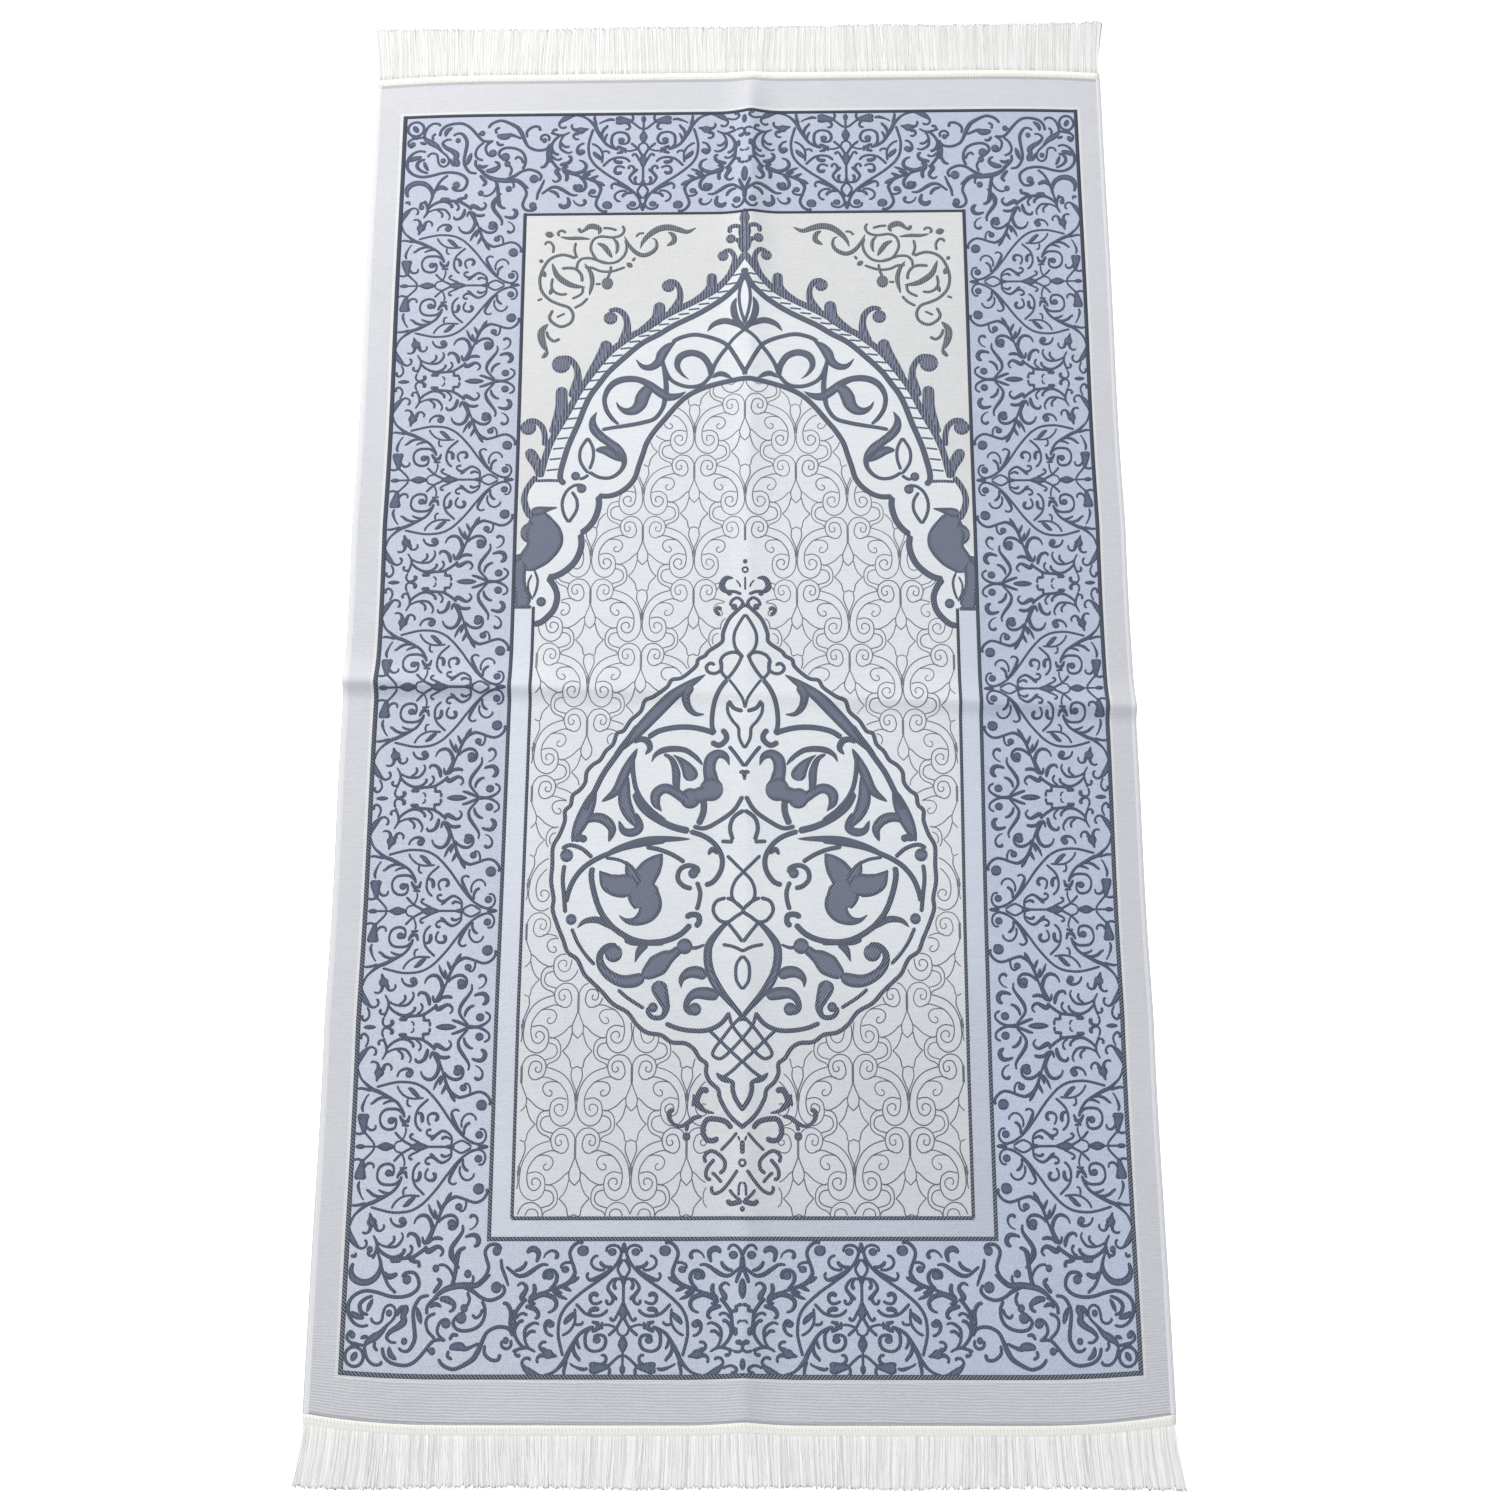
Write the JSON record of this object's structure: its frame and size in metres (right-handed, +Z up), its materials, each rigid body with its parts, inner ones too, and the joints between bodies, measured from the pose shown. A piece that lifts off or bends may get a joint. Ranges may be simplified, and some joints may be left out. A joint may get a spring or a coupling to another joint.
{
  "type": "prayer rug",
  "caption": "Flat woven prayer rug with an arched niche, a pointed medallion, a scroll border and a strand fringe along each end; it lies on a floor to kneel on.",
  "frame": {"origin": "bottom centre of the rug's bounding box, on the floor", "axes": "+X across the rug, +Y along it from the near end to the end at the arch's point, +Z up"},
  "size_m": [0.6809, 1.268, 0.0076],
  "materials": {
    "woven_cloth": "matte jacquard weave in slate, grey-blue and off-white yarn",
    "fringe_yarn": "soft matte off-white yarn"
  },
  "bodies": {
    "root": {"cloth": "woven_cloth", "fringe_near": "fringe_yarn", "fringe_far": "fringe_yarn"}
  },
  "joints": []
}
